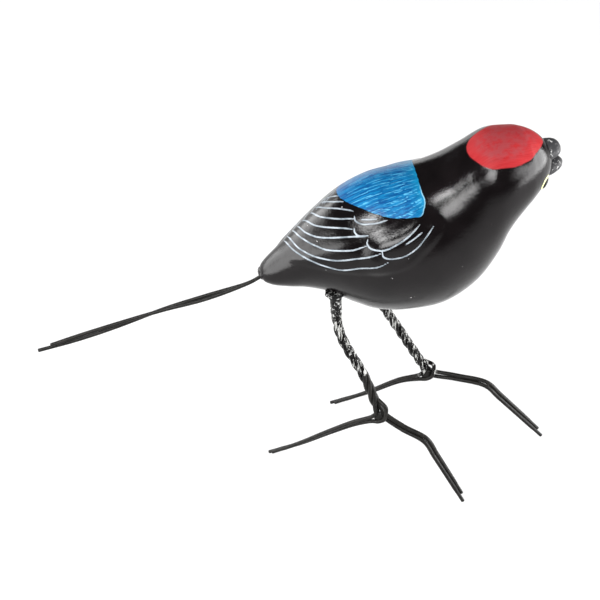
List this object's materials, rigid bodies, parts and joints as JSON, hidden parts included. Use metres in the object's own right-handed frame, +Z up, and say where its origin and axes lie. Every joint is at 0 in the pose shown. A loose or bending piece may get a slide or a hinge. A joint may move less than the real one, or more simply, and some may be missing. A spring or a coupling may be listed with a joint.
{
  "type": "bird sculpture",
  "caption": "Small ceramic songbird with a painted crown and mantle, standing on twisted wire legs with splayed wire toes and a long tail of two crossed wires.",
  "frame": {"origin": "on the ground under the middle of the whole figure's bounding box", "axes": "+X is forward, from the tail to the bill; +Z is up; +Y is the bird's left"},
  "size_m": [0.172, 0.0558, 0.1297],
  "materials": {
    "black_glaze": "glossy black glaze with a red crown, a blue mantle and pale wing lines",
    "iron_wire": "dark satin iron wire, glossy black on the legs"
  },
  "bodies": {
    "root": {"ceramic_body": "black_glaze", "right_leg_wire_1": "iron_wire", "right_leg_wire_2": "iron_wire", "right_leg_wire_3": "iron_wire", "right_leg_wire_4": "iron_wire", "left_leg_wire_1": "iron_wire", "left_leg_wire_2": "iron_wire", "left_leg_wire_3": "iron_wire", "left_leg_wire_4": "iron_wire", "tail_wire_longer": "iron_wire", "tail_wire_shorter": "iron_wire"}
  },
  "joints": []
}
